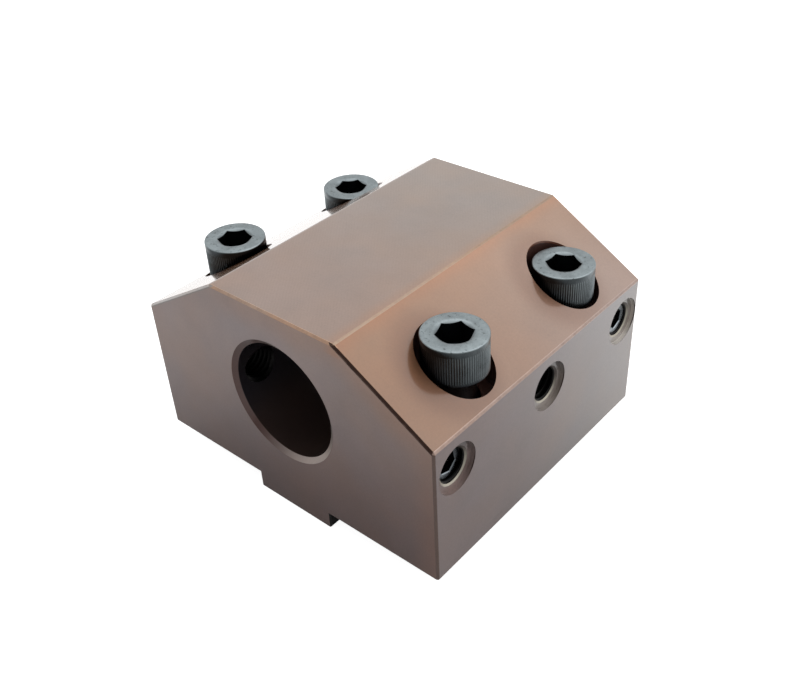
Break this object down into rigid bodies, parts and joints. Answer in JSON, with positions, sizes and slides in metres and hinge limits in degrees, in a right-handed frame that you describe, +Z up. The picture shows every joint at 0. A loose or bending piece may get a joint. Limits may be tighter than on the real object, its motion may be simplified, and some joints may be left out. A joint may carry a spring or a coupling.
{
  "type": "axial tool holder block",
  "caption": "Bolt-on lathe turret block with a through bore for a round tool shank, side clamp screws, mounting screws and a locating tongue.",
  "frame": {"origin": "centre of the rectangle of the four mounting screws, on the mounting face", "axes": "+Z up from the mounting face along the mounting screws, -Y out of the front end of the tool bore, +X across the block to the right as seen from the front"},
  "size_m": [0.096, 0.086, 0.066],
  "materials": {
    "browned_steel": "milled steel with a thin brown heat and oxide film",
    "blackened_screw": "black oxide, satin, knurled head",
    "blackened_set_screw": "black oxide, satin"
  },
  "bodies": {
    "holder": {"holder_body": "browned_steel"},
    "mounting_screw_front_right": {"mounting_screw_front_right": "blackened_screw"},
    "mounting_screw_rear_right": {"mounting_screw_rear_right": "blackened_screw"},
    "mounting_screw_front_left": {"mounting_screw_front_left": "blackened_screw"},
    "mounting_screw_rear_left": {"mounting_screw_rear_left": "blackened_screw"},
    "clamp_screw_right_front": {"clamp_screw_right_front": "blackened_set_screw"},
    "clamp_screw_right_middle": {"clamp_screw_right_middle": "blackened_set_screw"},
    "clamp_screw_right_rear": {"clamp_screw_right_rear": "blackened_set_screw"},
    "clamp_screw_left_front": {"clamp_screw_left_front": "blackened_set_screw"},
    "clamp_screw_left_middle": {"clamp_screw_left_middle": "blackened_set_screw"},
    "clamp_screw_left_rear": {"clamp_screw_left_rear": "blackened_set_screw"}
  },
  "joints": [
    {"name": "mounting_screw_front_right_slide", "type": "slide", "parent": "holder", "child": "mounting_screw_front_right", "axis": [0, 0, 1], "range_m": [-0.0079, 0.00625]},
    {"name": "mounting_screw_rear_right_slide", "type": "slide", "parent": "holder", "child": "mounting_screw_rear_right", "axis": [0, 0, 1], "range_m": [-0.00415, 0.01]},
    {"name": "mounting_screw_front_left_slide", "type": "slide", "parent": "holder", "child": "mounting_screw_front_left", "axis": [0, 0, 1], "range_m": [-0.0075, 0.00665]},
    {"name": "mounting_screw_rear_left_slide", "type": "slide", "parent": "holder", "child": "mounting_screw_rear_left", "axis": [0, 0, 1], "range_m": [-0.00415, 0.01]},
    {"name": "clamp_screw_right_front_feed", "type": "slide", "parent": "holder", "child": "clamp_screw_right_front", "axis": [-1, 0, 0], "range_m": [-0.0015, 0.009]},
    {"name": "clamp_screw_right_middle_feed", "type": "slide", "parent": "holder", "child": "clamp_screw_right_middle", "axis": [-1, 0, 0], "range_m": [-0.009, 0.0015]},
    {"name": "clamp_screw_right_rear_feed", "type": "slide", "parent": "holder", "child": "clamp_screw_right_rear", "axis": [-1, 0, 0], "range_m": [-0.0015, 0.009]},
    {"name": "clamp_screw_left_front_feed", "type": "slide", "parent": "holder", "child": "clamp_screw_left_front", "axis": [1, 0, 0], "range_m": [-0.0015, 0.009]},
    {"name": "clamp_screw_left_middle_feed", "type": "slide", "parent": "holder", "child": "clamp_screw_left_middle", "axis": [1, 0, 0], "range_m": [-0.0015, 0.009]},
    {"name": "clamp_screw_left_rear_feed", "type": "slide", "parent": "holder", "child": "clamp_screw_left_rear", "axis": [1, 0, 0], "range_m": [-0.0015, 0.009]}
  ]
}
